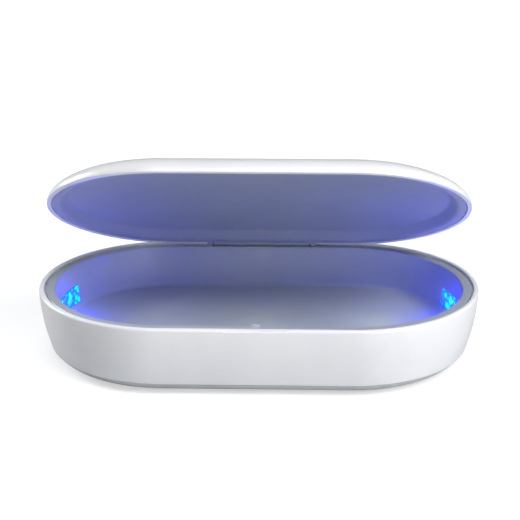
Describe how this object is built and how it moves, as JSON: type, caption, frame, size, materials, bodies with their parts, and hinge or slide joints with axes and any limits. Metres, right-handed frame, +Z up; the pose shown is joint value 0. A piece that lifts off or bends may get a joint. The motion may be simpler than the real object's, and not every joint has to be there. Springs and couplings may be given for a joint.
{
  "type": "uv sterilizer box",
  "caption": "Capsule-shaped tray box with a domed lid on a rear hinge, ultraviolet lamps behind curved end lenses, a rear push button and a charging socket.",
  "frame": {"origin": "centre of the underside of the pad that the box stands on", "axes": "+X along the box to the right as seen from the front, +Y to the hinge at the back, +Z up"},
  "size_m": [0.212, 0.126, 0.1037],
  "materials": {
    "white": "satin",
    "liner": "satin",
    "base_grey": "matte",
    "silicone": "matte",
    "lens": "clear",
    "mirror": "polished",
    "lamp": "gloss",
    "status": "gloss",
    "milky": "satin",
    "board": "satin",
    "chip": "matte",
    "steel": "satin",
    "button": "satin",
    "cable": "satin"
  },
  "bodies": {
    "base": {"lower_housing": "white", "base_cover": "base_grey", "anti_slip_pad": "silicone", "liner_tray": "liner", "base_screw_1": "steel", "base_screw_2": "steel", "base_screw_3": "steel", "base_screw_4": "steel", "uv_lens_left": "lens", "uv_reflector_left": "mirror", "uv_lamp_board_left": "board", "uv_lamp_left_1": "lamp", "uv_lamp_left_2": "lamp", "uv_lamp_left_3": "lamp", "uv_lamp_left_4": "lamp", "lamp_cable_left": "cable", "cable_plug_left": "milky", "board_screw_left": "steel", "uv_lens_right": "lens", "uv_reflector_right": "mirror", "uv_lamp_board_right": "board", "uv_lamp_right_1": "lamp", "uv_lamp_right_2": "lamp", "uv_lamp_right_3": "lamp", "uv_lamp_right_4": "lamp", "lamp_cable_right": "cable", "cable_plug_right": "milky", "board_screw_right": "steel", "main_circuit_board": "board", "control_chip": "chip", "power_switch": "chip", "status_lamp": "status", "status_light_pipe": "milky", "usb_c_socket": "steel", "lid_sensor": "chip", "lid_sensor_window": "milky", "hinge_pin": "steel"},
    "lid": {"lid_shell": "white", "lid_liner": "liner"},
    "button": {"power_button": "button"}
  },
  "joints": [
    {"name": "lid_hinge", "type": "hinge", "parent": "base", "child": "lid", "pos_m": [0, 0.059, 0.0352], "axis": [-1, 0, 0], "range_deg": [-34, 11]},
    {"name": "button_press", "type": "slide", "parent": "base", "child": "button", "axis": [0, -1, 0], "range_m": [0, 0.0008], "stiffness_N_per_m": 600}
  ]
}
